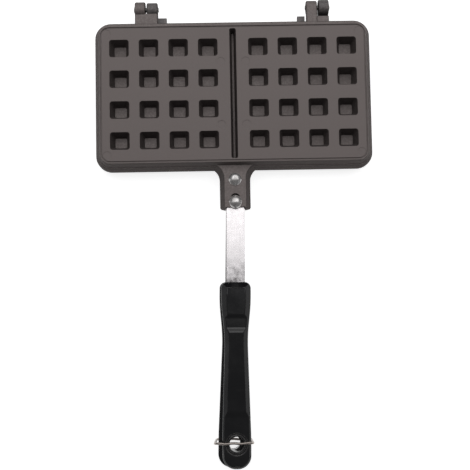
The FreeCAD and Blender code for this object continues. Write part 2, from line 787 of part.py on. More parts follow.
def add_hinge(body, side, hand):
    """One hinge of one plate: its feet, its bored knuckle and the relief round the other plate's knuckle.

    The upper plate has the inner knuckle on the right and the outer one on the left, and the lower plate
    has the other two. The side block stands clear of the upper plate's inner knuckle and joins the lower one's.
    """
    name = HAND_NAMES[hand]
    knuckle = INNER_KNUCKLE if side == hand else OUTER_KNUCKLE
    knuckle_ends = (knuckle["start"], knuckle["end"])
    hinge_ends = ("inner_knuckle_start", "outer_knuckle_end")
    if side == LOWER:
        block_ends = ("block_start", "block_end" if hand == RIGHT else "joined_block_end")
        add_foot(body, name + "_web", hand, side, "web_length", knuckle_ends, knuckle["radius"])
        add_foot(body, name + "_block", hand, side, "block_length", block_ends, "inner_knuckle_radius")
    elif hand == RIGHT:
        add_foot(body, name + "_web", hand, side, "web_length", knuckle_ends, knuckle["radius"])
        add_foot(body, name + "_lug", hand, side, "lug_length", hinge_ends, "lug_top_level")
    else:
        add_foot(body, name + "_lug", hand, side, "web_length", hinge_ends, "lug_top_level")
        cut_across(body, name + "_relief", hand, "inner_bore_start", "relief_length", "relief_radius")
    add_barrel(body, name + "_barrel", hand, knuckle)
    bore_radius = "running_bore_radius" if side == UPPER else "seat_bore_radius"
    cut_across(body, name + "_bore", hand, knuckle["bore_start"], knuckle["bore_length"], bore_radius)


def make_plate(side):
    """One cast plate: shell, tang, cavity, studs, divider, face marks and hinge knuckles."""
    body = new_body(SIDE_NAMES[side] + "_plate")
    add_plate_shell(body, side)
    add_tang(body, side)
    cut_cavity(body, side)
    add_divider(body, side)
    cut_face_marks(body, side)
    cut_tang(body, side)
    add_hinge(body, side, RIGHT)
    add_hinge(body, side, LEFT)
    add_studs(body, side)
    return body


def splay(part, side):
    """Turn a piece of the handle about the middle of its rivets."""
    name = SIDE_NAMES[side]
    part.Placement.Rotation = FreeCAD.Rotation(Vector(0, 0, 1), -number(name + "_splay"))
    part.setExpression("Placement.Rotation.Angle", "-Sizes.%s_splay" % name)
    part.setExpression("Placement.Base.x", "Sizes.%s_shift_x" % name)
    part.setExpression("Placement.Base.y", "Sizes.%s_shift_y" % name)


def lies_level(edge):
    """Whether an edge lies in a plane level with the floor."""
    box = edge.BoundBox
    return box.ZLength < EDGE_TOLERANCE_SHARE * edge.Length


def make_strap(side):
    """Flat steel strap from the tang into the grip, with holes for the rivets and the grip's screw."""
    body = new_body(SIDE_NAMES[side] + "_handle_strap")
    box = handle_box("strap_half_width", "strap_start", "strap_end")
    corners = [(x, y, "strap_corner_radius") for x, y, _ in box]
    blank = add_outline_feature(body, "blank", side, "strap_inner_level", corners, "Pad", "strap_thickness",
                                side == LOWER)
    add_dressing(body, "Fillet", "rounded_edges", blank, edges_where(blank, lies_level), "strap_edge_radius")
    add_circles_cut(body, "strap_holes", side, "0", [
        ("0", "-rear_rivet", "strap_hole_radius"),
        ("0", "-front_rivet", "strap_hole_radius"),
        ("0", "-screw_y", "screw_hole_radius"),
    ], "tang_cut_level")
    splay(body, side)
    return body


def new_solid(kind, name, sizes, along_x=False):
    """A part primitive with its sizes bound to the sheet, standing up or lying along +X."""
    solid = document.addObject("Part::" + kind, name)
    for size_property, size in sizes.items():
        solid.setExpression(size_property, bound(size))
    if along_x:
        solid.Placement.Rotation = FreeCAD.Rotation(Vector(0, 0, 1), Vector(1, 0, 0))
    return solid


def bind_base(solid, places):
    """Bind the coordinates of a solid's place to expressions."""
    for axis, expression in places.items():
        solid.setExpression("Placement.Base." + axis, expression)


def make_rivet(side, y_size):
    """Domed rivet that clamps the strap under the tang's roof."""
    name = "%s_%s" % (SIDE_NAMES[side], y_size)
    outwards = FreeCAD.Rotation(Vector(0, 0, 1), Vector(0, 0, side))
    crown = new_solid("Sphere", name + "_crown", {
        "Radius": "rivet_crown_radius",
        "Angle1": "rivet_crown_angle",
    })
    shank = new_solid("Cylinder", name + "_shank", {
        "Radius": "rivet_radius",
        "Height": "rivet_length",
    })
    tail = new_solid("Cylinder", name + "_tail", {
        "Radius": "rivet_tail_radius",
        "Height": "rivet_tail_height",
    })
    for solid, level in (
        (crown, "rivet_crown_base_level"),
        (shank, "rivet_tail_level"),
        (tail, "rivet_tail_level"),
    ):
        solid.Placement.Rotation = outwards
        bind_base(solid, {"y": "-Sizes." + y_size, "z": level_expression(side, level)})
    rivet = document.addObject("Part::MultiFuse", name + "_rivet")
    rivet.Shapes = [crown, shank, tail]
    return rivet


def make_rivets(side):
    """The two rivets of one handle, as separate solids of one sub-part."""
    pair = document.addObject("Part::Compound", SIDE_NAMES[side] + "_rivets")
    pair.Links = [make_rivet(side, "rear_rivet"), make_rivet(side, "front_rivet")]
    splay(pair, side)
    return pair


def grip_corners():
    """Plan of the grip: a broad front, a narrower neck and a round end about the hang hole."""
    left = [
        ("-grip_front_half_width", "-grip_front", "grip_front_radius"),
        ("-grip_front_half_width", "-grip_shoulder_y", "grip_bend_radius"),
        ("-grip_neck_half_width", "-grip_neck_y", "grip_bend_radius"),
        ("-grip_eye_half_width", "-grip_eye_y", "grip_bend_radius"),
        ("-grip_eye_half_width", "-grip_end", "grip_end_radius"),
    ]
    return left + [(flipped(x), y, radius) for x, y, radius in reversed(left)]


def cut_grip_profile(body, side):
    """Lower the top of the grip behind the thumb pad: a dip, a long ridge and a thinner eye."""
    sketch = new_sketch(body, "profile_sketch", "YZ_Plane", {"y": "Sizes.half_height"})
    profile = [
        ("-pad_end_y", "cut_top_level"),
        ("-pad_end_y", "grip_top_level"),
        ("-dip_start_y", "dip_level"),
        ("-dip_end_y", "dip_level"),
        ("-ridge_start_y", "ridge_level"),
        ("-ridge_end_y", "ridge_level"),
        ("-eye_start_y", "eye_level"),
        ("-cut_end_y", "eye_level"),
        ("-cut_end_y", "cut_top_level"),
    ]
    draw_outline(sketch, [(y, signed(level, side), None) for y, level in profile])
    add_feature(body, "Pocket", "profile", sketch, "grip_cut_width", symmetric=True)


def make_grip(side):
    """Moulded grip with sloping shoulders, slotted for the strap and pierced by the hang hole."""
    outwards = side == UPPER
    body = new_body(SIDE_NAMES[side] + "_grip")
    blank = add_outline_feature(body, "blank", side, "grip_gap", grip_corners(), "Pad", "grip_thickness",
                                side == LOWER)
    top = number("half_height") + side * number("grip_top_level")
    middle = number("half_height") + side * number("grip_thickness") / 2
    rim = edges_where(blank, lambda edge: lies_level(edge) and abs(edge.CenterOfMass.z - top) < abs(
        edge.CenterOfMass.z - middle))
    add_dressing(body, "Chamfer", "shoulders", blank, rim, "grip_chamfer")
    cut_grip_profile(body, side)
    add_outline_feature(body, "strap_slot", side, "grip_slot_level",
                        handle_box("grip_slot_half_width", "grip_slot_start", "grip_slot_end"),
                        "Pocket", "grip_slot_height", outwards)
    add_circles_cut(body, "hang_hole", side, "0", [("0", "-hang_hole_y", "hang_hole_radius")],
                    "cut_top_level")
    add_circles_cut(body, "hang_ring", side, "eye_level", [
        ("0", "-hang_hole_y", "hang_ring_outer"),
        ("0", "-hang_hole_y", "hang_ring_inner"),
    ], "hang_ring_depth", outwards=False)
    add_circles_cut(body, "screw_recess", side, "0", [("0", "-screw_y", "screw_recess_radius")],
                    "strap_inner_level")
    add_circles_cut(body, "screw_hole", side, "0", [("0", "-screw_y", "screw_hole_radius")],
                    "screw_hole_level")
    splay(body, side)
    return body


def add_screw_boss(body, name, side, radius, length):
    """Round boss on the screw's axis, from the outer end of its head away from the parting plane."""
    sketch = new_sketch(body, name + "_sketch", "XY_Plane", {"z": level_expression(side, "screw_head_level")})
    draw_circle(sketch, "0", "-screw_y", radius)
    return add_feature(body, "Pad", name, sketch, length, side == LOWER)


def make_grip_screw(side):
    """Slotted screw, driven from the inner face through the strap into the grip."""
    body = new_body(SIDE_NAMES[side] + "_grip_screw")
    add_screw_boss(body, "head", side, "screw_head_radius", "screw_head_height")
    add_screw_boss(body, "shank", side, "screw_radius", "screw_body_length")
    slot = new_sketch(body, "slot_sketch", "XY_Plane", {
        "z": level_expression(side, "screw_head_level"), "y": "-Sizes.screw_y",
    })
    draw_outline(slot, [
        ("-screw_slot_half_length", "-screw_slot_half_width", None),
        ("screw_slot_half_length", "-screw_slot_half_width", None),
        ("screw_slot_half_length", "screw_slot_half_width", None),
        ("-screw_slot_half_length", "screw_slot_half_width", None),
    ])
    add_feature(body, "Pocket", "slot", slot, "screw_slot_depth", side == UPPER)
    splay(body, side)
    return body


def make_hinge_pins():
    """Domed pins along the hinge axis, tight in the lower plate's knuckles."""
    shank = new_solid("Cylinder", "pin_shank", {
        "Radius": "hinge_pin_radius",
        "Height": "pin_length",
    }, along_x=True)
    crown = new_solid("Sphere", "pin_crown", {
        "Radius": "pin_crown_radius",
        "Angle1": "pin_crown_angle",
    }, along_x=True)
    for solid, start in ((shank, "pin_start"), (crown, "pin_crown_centre")):
        bind_base(solid, {"x": bound(start), "y": "Sizes.hinge_y", "z": "Sizes.half_height"})
    right_pin = document.addObject("Part::MultiFuse", "right_hinge_pin")
    right_pin.Shapes = [shank, crown]
    left_pin = document.addObject("Part::Mirroring", "left_hinge_pin")
    left_pin.Source = right_pin
    left_pin.Normal = Vector(1, 0, 0)
    return [left_pin, right_pin]


def make_locking_ring():
    """Closed wire loop round both grips, wider above than below."""
    body = new_body("locking_ring")
    path = new_sketch(body, "ring_path", "XZ_Plane", {
        "x": "-Sizes.ring_side_shift", "y": "Sizes.half_height", "z": "Sizes.ring_y",
    })
    draw_outline(path, [
        ("ring_top_half_width", "ring_top_level", "ring_corner_radius"),
        ("-ring_top_half_width", "ring_top_level", "ring_corner_radius"),
        ("-ring_bottom_half_width", "-ring_bottom_level", "ring_corner_radius"),
        ("ring_bottom_half_width", "-ring_bottom_level", "ring_corner_radius"),
    ])
    wire = new_sketch(body, "ring_wire", "YZ_Plane", {
        "y": "Sizes.half_height", "z": "-Sizes.ring_side_shift",
    })
    draw_circle(wire, "-ring_y", "ring_top_level", "ring_wire_radius")
    document.recompute()
    pipe = body.newObject("PartDesign::AdditivePipe", "ring_pipe")
    pipe.Profile = (wire, [""])
    pipe.Spine = (path, [""])
    finish_feature(body, pipe, 0.0, cuts=False)
    return body


def check_document(parts):
    """Stop if any object failed or any sub-part is missing, empty or invalid."""
    failed = [item.Name for item in document.Objects if "Invalid" in item.State or "Error" in item.State]
    if failed:
        raise RuntimeError("failed objects: " + ", ".join(failed))
    for part in parts:
        if part.Shape.isNull() or not part.Shape.isValid() or not part.Shape.Solids:
            raise RuntimeError("bad shape: " + part.Label)


def write_parts(parts):
    """Write each sub-part under its label."""
    os.makedirs("parts", exist_ok=True)
    for part in parts:
        part.Shape.exportStep("parts/%s.step" % part.Label)
        box = part.Shape.BoundBox
        print("%-20s %d solid(s) %9.1f mm3  x %.1f..%.1f y %.1f..%.1f z %.1f..%.1f" % (
            part.Label, len(part.Shape.Solids), part.Shape.Volume,
            box.XMin, box.XMax, box.YMin, box.YMax, box.ZMin, box.ZMax))


fill_sheet()
sub_parts = []
for plate_side in (LOWER, UPPER):
    sub_parts.append(make_plate(plate_side))
    sub_parts.append(make_strap(plate_side))
    sub_parts.append(make_rivets(plate_side))
    sub_parts.append(make_grip(plate_side))
    sub_parts.append(make_grip_screw(plate_side))
sub_parts += make_hinge_pins()
sub_parts.append(make_locking_ring())
document.recompute()
check_document(sub_parts)
write_parts(sub_parts)
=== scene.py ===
"""Looks of a double waffle iron for the hob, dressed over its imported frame.

Metres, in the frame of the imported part: +Z is up, +Y points to the hinges and the handles run
towards -Y. Each sub-assembly is a class with its sizes as fields, and each finish is a frozen
dataclass that makes its own material.
"""

import json
import logging
import math
from dataclasses import dataclass
from enum import Enum
from functools import cached_property
from typing import Dict, Iterable, List, Optional, Protocol, Tuple

import bmesh
import bpy
from mathutils import Matrix, Vector

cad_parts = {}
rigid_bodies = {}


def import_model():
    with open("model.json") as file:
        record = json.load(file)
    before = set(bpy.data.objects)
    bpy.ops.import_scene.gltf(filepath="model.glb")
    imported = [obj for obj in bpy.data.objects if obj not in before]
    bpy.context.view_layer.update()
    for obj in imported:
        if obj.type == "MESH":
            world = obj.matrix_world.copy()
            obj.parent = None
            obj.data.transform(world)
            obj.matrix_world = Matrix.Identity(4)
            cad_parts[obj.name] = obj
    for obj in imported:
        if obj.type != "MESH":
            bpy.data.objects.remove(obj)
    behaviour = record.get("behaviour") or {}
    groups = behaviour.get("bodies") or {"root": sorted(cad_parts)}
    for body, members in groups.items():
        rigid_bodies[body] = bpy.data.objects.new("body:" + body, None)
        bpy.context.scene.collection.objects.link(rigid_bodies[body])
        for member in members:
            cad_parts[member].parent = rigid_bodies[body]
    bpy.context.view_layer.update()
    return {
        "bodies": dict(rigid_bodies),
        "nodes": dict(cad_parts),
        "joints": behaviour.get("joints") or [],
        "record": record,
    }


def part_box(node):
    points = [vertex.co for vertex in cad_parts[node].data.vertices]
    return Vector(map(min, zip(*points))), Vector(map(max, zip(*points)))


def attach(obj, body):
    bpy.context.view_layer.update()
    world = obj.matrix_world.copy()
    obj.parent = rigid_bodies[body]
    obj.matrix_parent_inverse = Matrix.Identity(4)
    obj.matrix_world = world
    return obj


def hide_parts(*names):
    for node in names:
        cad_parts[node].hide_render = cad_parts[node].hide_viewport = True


LOG = logging.getLogger("waffle_iron")
MM = 0.001

Colour = Tuple[float, float, float]
Place = Tuple[float, float, float]
Axes = Tuple[float, float, float]
Size = Tuple[float, float]
Span = Tuple[float, float]
Socket = bpy.types.NodeSocket

# The whole of a share, and the part of a noise's range that holds nearly all of its values.
WHOLE: Span = (0.0, 1.0)
NOISE_MIDDLE: Span = (0.3, 0.7)

# How far a neighbouring edge may turn aside and still count as the same border running on.
STRAIGHT_ON_SHARE = 0.35
# The share of the room beside an edge that its rounding may take, so that two roundings never meet.
ROUNDING_ROOM_SHARE = 0.42
# The influence of a face's area on the normals at its corners, as the modifier counts it.
FULL_AREA_INFLUENCE = 100
# How near a corner has to be to a cutting plane to lie on it, and the wire's last ring to its first.
CUT_CLOSENESS = 0.0001 * MM
WIRE_CLOSENESS = 0.01 * MM


class Side(Enum):
    """The two halves of the iron, with the body that each one rides on."""

    LOWER = ("lower", "base", -1.0)
    UPPER = ("upper", "lid", 1.0)

    def __init__(self, prefix: str, body: str, sign: float) -> None:
        """Keeps the half's name, its body and the sign of its outward direction along Z."""
        self.prefix = prefix
        self.body = body
        self.sign = sign

    def node(self, piece: str) -> str:
        """Returns the name of this half's node for a kind of piece."""
        return f"{self.prefix}_{piece}"


class EdgeRounding(Enum):
    """Where the rounding of a piece's edges is: in its shape, or in its shading alone."""

    SHAPED = "shaped"
    SHADED = "shaded"


class Finish(Protocol):
    """Anything that makes a material of its own."""

    def material(self) -> bpy.types.Material:
        """Returns the finish's material."""


class ShaderTree:
    """The nodes of one material or group, added by kind and wired by the names of their sockets."""

    def __init__(self, tree: bpy.types.NodeTree) -> None:
        """Takes the tree that the nodes go into."""
        self.tree = tree

    def add(self, kind: str, settings: Optional[dict] = None, **inputs: object) -> bpy.types.Node:
        """Adds a node.

        Args:
            kind: the node's type, without its "ShaderNode" prefix.
            settings: properties of the node itself.
            inputs: values or outputs for its sockets, with _ for each space in a socket's name.

        Returns:
            The new node.
        """
        node = self.tree.nodes.new("ShaderNode" + kind)
        for name, value in (settings or {}).items():
            setattr(node, name, value)
        for name, value in inputs.items():
            self.feed(node.inputs[name.replace("_", " ")], value)
        return node

    def feed(self, socket: Socket, value: object) -> None:
        """Links an output to a socket, or sets the socket's own value.

        Args:
            socket: the input to fill.
            value: another node's output, a number, a vector or a colour.
        """
        if isinstance(value, Socket):
            self.tree.links.new(value, socket)
        elif isinstance(value, tuple) and len(value) == 3 and len(socket.default_value) == 4:
            socket.default_value = (*value, 1.0)
        else:
            socket.default_value = value

    def mix(self, factor: object, first: object, second: object) -> Socket:
        """Returns the colour that goes from the first to the second as the factor goes from 0 to 1."""
        return self.add("MixRGB", Fac=factor, Color1=first, Color2=second).outputs["Color"]

    def remap(self, value: object, source: Span, target: Span = WHOLE) -> Socket:
        """Returns the value carried from one span to another, and held at its ends."""
        node = self.add("MapRange", {"clamp": True}, Value=value)
        for name, end in zip(("From Min", "From Max", "To Min", "To Max"), source + target):
            node.inputs[name].default_value = end
        return node.outputs["Result"]

    def math(self, operation: str, first: object, second: object = 0.0) -> Socket:
        """Returns the result of an arithmetic node on two values."""
        node = self.add("Math", {"operation": operation})
        self.feed(node.inputs[0], first)
        self.feed(node.inputs[1], second)
        return node.outputs["Value"]

    def noise(self, vector: object, scale: object, detail: float, roughness: float = 0.5) -> Socket:
        """Returns a noise at some coordinates."""
        node = self.add("TexNoise", Vector=vector, Scale=scale, Detail=detail, Roughness=roughness)
        return node.outputs["Fac"]

    def mapped(self, vector: object, scale: Axes, turn: Axes = (0.0, 0.0, 0.0)) -> Socket:
        """Returns coordinates that are scaled and turned about each axis."""
        return self.add("Mapping", Vector=vector, Rotation=turn, Scale=scale).outputs["Vector"]

    def own_place(self) -> Socket:
        """Returns the piece's own coordinates, which are the part's, in metres."""
        return self.add("TexCoord").outputs["Object"]

    def own_axis(self, axis: str) -> Socket:
        """Returns one of the piece's own coordinates."""
        return self.add("SeparateXYZ", Vector=self.own_place()).outputs[axis]

    def level(self, source: Span, target: Span = WHOLE) -> Socket:
        """Returns how level the face lies: the size of its normal's Z, carried from one span to another."""
        facing = self.add("SeparateXYZ", Vector=self.add("TexCoord").outputs["Normal"])
        return self.remap(self.math("ABSOLUTE", facing.outputs["Z"]), source, target)


GroupParts = Tuple[ShaderTree, bpy.types.Node, bpy.types.Node]


class SurfaceGroups:
    """Shader node groups that more than one finish uses. Each is built once, on its first use."""

    pit_reach: Span = (0.0, 0.45)
    line_stretch: Axes = (40.0, 1.0, 40.0)
    smudge_scale: float = 210.0
    edge_samples: int = 6
    edge_turn: Span = (0.995, 0.86)
    # Patches that break up the painted edge highlight, and the share of it that they keep.
    highlight_patches: Span = (0.35, 0.6)
    highlight_patch_share: Span = (0.35, 1.0)
    scratch_turn: Axes = (0.2, 0.1, 0.6)
    scratch_stretch: Axes = (1.0, 9.0, 1.0)
    scratch_peaks: Span = (0.62, 0.72)
    film_scale: float = 35.0

    @staticmethod
    def start(name: str, inputs: Dict[str, float], outputs: Iterable[str]) -> GroupParts:
        """Makes an empty group with its sockets.

        Args:
            name: the group's name.
            inputs: the number sockets with their usual values. A Vector socket is always added.
            outputs: the names of the number sockets that it puts out.

        Returns:
            The group's tree, its input node and its output node.
        """
        tree = bpy.data.node_groups.new(name, "ShaderNodeTree")
        tree.interface.new_socket("Vector", in_out="INPUT", socket_type="NodeSocketVector")
        for socket, value in inputs.items():
            made = tree.interface.new_socket(socket, in_out="INPUT", socket_type="NodeSocketFloat")
            made.default_value = value
        for socket in outputs:
            tree.interface.new_socket(socket, in_out="OUTPUT", socket_type="NodeSocketFloat")
        return ShaderTree(tree), tree.nodes.new("NodeGroupInput"), tree.nodes.new("NodeGroupOutput")

    @cached_property
    def casting_skin(self) -> bpy.types.NodeTree:
        """The group for a cast and coated skin: broad clouds, and the pits and grains of the sand."""
        scales = {"Cloud Scale": 18.0, "Grain Scale": 900.0}
        tree, given, result = self.start("casting_skin", scales, ("Clouds", "Grain"))
        vector = given.outputs["Vector"]
        grain_scale = given.outputs["Grain Scale"]
        clouds = tree.noise(vector, given.outputs["Cloud Scale"], detail=5.0, roughness=0.6)
        grain = tree.noise(vector, grain_scale, detail=3.0, roughness=0.7)
        pits = tree.add("TexVoronoi", Vector=vector, Scale=grain_scale)
        depth = tree.remap(pits.outputs["Distance"], self.pit_reach)
        tree.feed(result.inputs["Clouds"], clouds)
        tree.feed(result.inputs["Grain"], tree.math("MULTIPLY", grain, depth))
        return tree.tree

    @cached_property
    def rolled_lines(self) -> bpy.types.NodeTree:
        """The group for the fine lines that rolling leaves along a strip or wire, and for smudges."""
        tree, given, result = self.start("rolled_lines", {"Line Scale": 60.0}, ("Lines", "Smudges"))
        vector = given.outputs["Vector"]
        along = tree.mapped(vector, self.line_stretch)
        lines = tree.noise(along, given.outputs["Line Scale"], detail=4.0, roughness=0.65)
        smudges = tree.noise(vector, self.smudge_scale, detail=4.0, roughness=0.6)
        tree.feed(result.inputs["Lines"], lines)
        tree.feed(result.inputs["Smudges"], smudges)
        return tree.tree

    @cached_property
    def painted_edge_highlight(self) -> bpy.types.NodeTree:
        """The group for a painted highlight on edges: it finds them where a rounded normal leaves the true
        one, and breaks them up.
        """
        sizes = {"Width": 0.8 * MM, "Break Up": 240.0}
        tree, given, result = self.start("painted_edge_highlight", sizes, ("Edge",))
        rounded = tree.add("Bevel", {"samples": self.edge_samples}, Radius=given.outputs["Width"])
        true = tree.add("NewGeometry")
        compare = tree.add("VectorMath", {"operation": "DOT_PRODUCT"})
        tree.feed(compare.inputs[0], rounded.outputs["Normal"])
        tree.feed(compare.inputs[1], true.outputs["Normal"])
        edge = tree.remap(compare.outputs["Value"], self.edge_turn)
        patches = tree.noise(given.outputs["Vector"], given.outputs["Break Up"], detail=3.0)
        broken = tree.remap(patches, self.highlight_patches, self.highlight_patch_share)
        tree.feed(result.inputs["Edge"], tree.math("MULTIPLY", edge, broken))
        return tree.tree

    @cached_property
    def scuffs(self) -> bpy.types.NodeTree:
        """The group for light handling marks: short crossed scratches and a film of dust."""
        tree, given, result = self.start("scuffs", {"Scratch Scale": 70.0}, ("Scratches", "Film"))
        vector = given.outputs["Vector"]
        turned = tree.mapped(vector, self.scratch_stretch, self.scratch_turn)
        fine = tree.noise(turned, given.outputs["Scratch Scale"], detail=2.0)
        film = tree.noise(vector, self.film_scale, detail=6.0, roughness=0.6)
        tree.feed(result.inputs["Scratches"], tree.remap(fine, self.scratch_peaks))
        tree.feed(result.inputs["Film"], film)
        return tree.tree


GROUPS = SurfaceGroups()
LoopParts = Tuple[List[bmesh.types.BMVert], List[bmesh.types.BMEdge]]


def new_material(name: str) -> Tuple[bpy.types.Material, ShaderTree, bpy.types.Node]:
    """Makes a material with its main shader.

    Args:
        name: the material's name.

    Returns:
        The material, its tree and its Principled node.
    """
    material = bpy.data.materials.new(name)
    material.use_nodes = True
    return material, ShaderTree(material.node_tree), material.node_tree.nodes["Principled BSDF"]


def place_group(tree: ShaderTree, group: bpy.types.NodeTree, **inputs: object) -> bpy.types.Node:
    """Places a shared group in a material, reading the piece's own coordinates.

    Args:
        tree: the material's tree.
        group: the shared group.
        inputs: values for its sockets, with _ for each space in a socket's name.

    Returns:
        The group's node.
    """
    node = tree.add("Group", {"node_tree": group}, **inputs)
    tree.feed(node.inputs["Vector"], tree.own_place())
    return node


@dataclass(frozen=True)
class CoatedCasting:
    """Cast aluminium under a satin non-stick coat.

    Heights are measured from the plane where the two plates meet. A face that lies nearer to it than
    the outer ones do is a floor, and the coat is gritty there.
    """

    name: str
    dark: Colour = (0.140, 0.116, 0.111)
    light: Colour = (0.186, 0.157, 0.150)
    # The edge colour is a painted highlight, laid on the edges by the painted edge highlight group.
    edge: Colour = (0.255, 0.222, 0.212)
    edge_width: float = 0.7 * MM
    edge_highlight_share: float = 0.55
    speckle_grain: Span = (0.1, 0.6)
    speckle_share: Span = (0.0, 0.35)
    level_from: Span = (0.55, 0.95)
    # The share of its colour that an upright face keeps: painted shade on the flanks.
    flank_shade_share: float = 0.45
    flank_roughness: float = 0.2
    gloss: Span = (0.1, 0.5)
    parting_height: float = 17.0 * MM
    floor_height: float = 13.0 * MM
    face_height: float = 15.0 * MM
    grit: Colour = (0.27, 0.235, 0.225)
    grit_scale: float = 620.0
    grit_peaks: Span = (0.42, 0.66)
    grit_share: float = 0.42
    roughness: Span = (0.42, 0.58)
    rounding: float = 0.5 * MM
    rounding_samples: int = 8
    grain_height: float = 0.05 * MM
    grain_strength: float = 0.6
    metal_share: float = 0.25

    def material(self) -> bpy.types.Material:
        """Returns the coat's material: flanks with painted shade and rougher, gritty floors, a painted
        highlight on the edges, a fine grain.
        """
        material, tree, shader = new_material(self.name)
        skin = place_group(tree, GROUPS.casting_skin)
        level = tree.level(self.level_from)
        tree.feed(shader.inputs["Base Color"], self.colour(tree, skin, level))
        cloudy = tree.remap(skin.outputs["Clouds"], NOISE_MIDDLE, self.roughness)
        rougher = tree.remap(level, WHOLE, (self.flank_roughness, 0.0))
        tree.feed(shader.inputs["Roughness"], tree.math("ADD", cloudy, rougher))
        tree.feed(shader.inputs["Metallic"], tree.remap(level, WHOLE, (0.0, self.metal_share)))
        tree.feed(shader.inputs["Specular IOR Level"], tree.remap(level, WHOLE, self.gloss))
        rounded = tree.add("Bevel", {"samples": self.rounding_samples}, Radius=self.rounding)
        bump = tree.add("Bump", Strength=self.grain_strength, Distance=self.grain_height,
                        Height=skin.outputs["Grain"], Normal=rounded.outputs["Normal"])
        tree.feed(shader.inputs["Normal"], bump.outputs["Normal"])
        return material

    def colour(self, tree: ShaderTree, skin: bpy.types.Node, level: Socket) -> Socket:
        """Mixes the coat's colour, with painted shade on the flanks and a painted highlight on the edges.

        Args:
            tree: the material's tree.
            skin: the casting skin's node in it.
            level: how level the face lies, from 0 to 1.

        Returns:
            The colour.
        """
        clouded = tree.mix(tree.remap(skin.outputs["Clouds"], NOISE_MIDDLE), self.dark, self.light)
        speckles = tree.remap(skin.outputs["Grain"], self.speckle_grain, self.speckle_share)
        speckled = tree.mix(speckles, clouded, self.light)
        height = tree.math("SUBTRACT", tree.own_axis("Z"), self.parting_height)
        heights = (self.floor_height, self.face_height)
        floor = tree.remap(tree.math("ABSOLUTE", height), heights, (self.grit_share, 0.0))
        peaks = tree.remap(tree.noise(tree.own_place(), self.grit_scale, detail=2.0), self.grit_peaks)
        gritty = tree.mix(tree.math("MULTIPLY", peaks, floor), speckled, self.grit)
        # Painted shade: faces that do not lie level are darkened.
        share = tree.remap(level, WHOLE, (self.flank_shade_share, 1.0))
        shaded = tree.add("MixRGB", {"blend_type": "MULTIPLY"}, Fac=1.0, Color1=gritty, Color2=share)
        # Painted highlight: the edges are made lighter.
        highlight_node = place_group(tree, GROUPS.painted_edge_highlight, Width=self.edge_width)
        highlighted = tree.math("MULTIPLY", highlight_node.outputs["Edge"], self.edge_highlight_share)
        return tree.mix(highlighted, shaded.outputs["Color"], self.edge)


@dataclass(frozen=True)
class RolledSteel:
    """Steel strip, rod or wire with the lines of its rolling.

    The dark patches, which on the straps are a painted dark reflection, and the painted deep shade each
    come in along Y, over a span from none to all. Without a span there is none.
    """

    name: str
    bright: Colour = (0.96, 0.925, 0.935)
    dull: Colour = (0.87, 0.835, 0.845)
    # Colour of the dark patches; on the straps they are a painted dark reflection.
    dark_patch: Colour = (0.16, 0.15, 0.15)
    dark_patch_span: Optional[Span] = None
    dark_patch_spots: Span = (0.38, 0.62)
    # Painted shade: black where the strap lies deep inside its tang, out of the light.
    deep_shade: Colour = (0.012, 0.011, 0.011)
    deep_shade_span: Optional[Span] = None
    roughness: Span = (0.20, 0.30)
    line_height: float = 0.004 * MM
    line_strength: float = 0.5
    metal_share: float = 1.0

    def material(self) -> bpy.types.Material:
        """Returns the steel's material, with its dark patches and its painted deep shade where it has them.
        """
        material, tree, shader = new_material(self.name)
        rolled = place_group(tree, GROUPS.rolled_lines)
        colour = tree.mix(tree.remap(rolled.outputs["Lines"], NOISE_MIDDLE), self.bright, self.dull)
        # On the straps the dark patches are a painted dark reflection: darker where the soft box's reflection
        # ends, towards the grips.
        if self.dark_patch_span is not None:
            near = tree.remap(tree.own_axis("Y"), self.dark_patch_span)
            spots = tree.remap(rolled.outputs["Smudges"], self.dark_patch_spots)
            colour = tree.mix(tree.math("MULTIPLY", near, spots), colour, self.dark_patch)
        if self.deep_shade_span is not None:
            # Painted shade: the strap turns black deep inside the tang.
            colour = tree.mix(tree.remap(tree.own_axis("Y"), self.deep_shade_span), colour, self.deep_shade)
        tree.feed(shader.inputs["Base Color"], colour)
        tree.feed(shader.inputs["Metallic"], self.metal_share)
        rough = tree.remap(rolled.outputs["Smudges"], NOISE_MIDDLE, self.roughness)
        tree.feed(shader.inputs["Roughness"], rough)
        bump = tree.add("Bump", Strength=self.line_strength, Distance=self.line_height,
                        Height=rolled.outputs["Lines"])
        tree.feed(shader.inputs["Normal"], bump.outputs["Normal"])
        return material


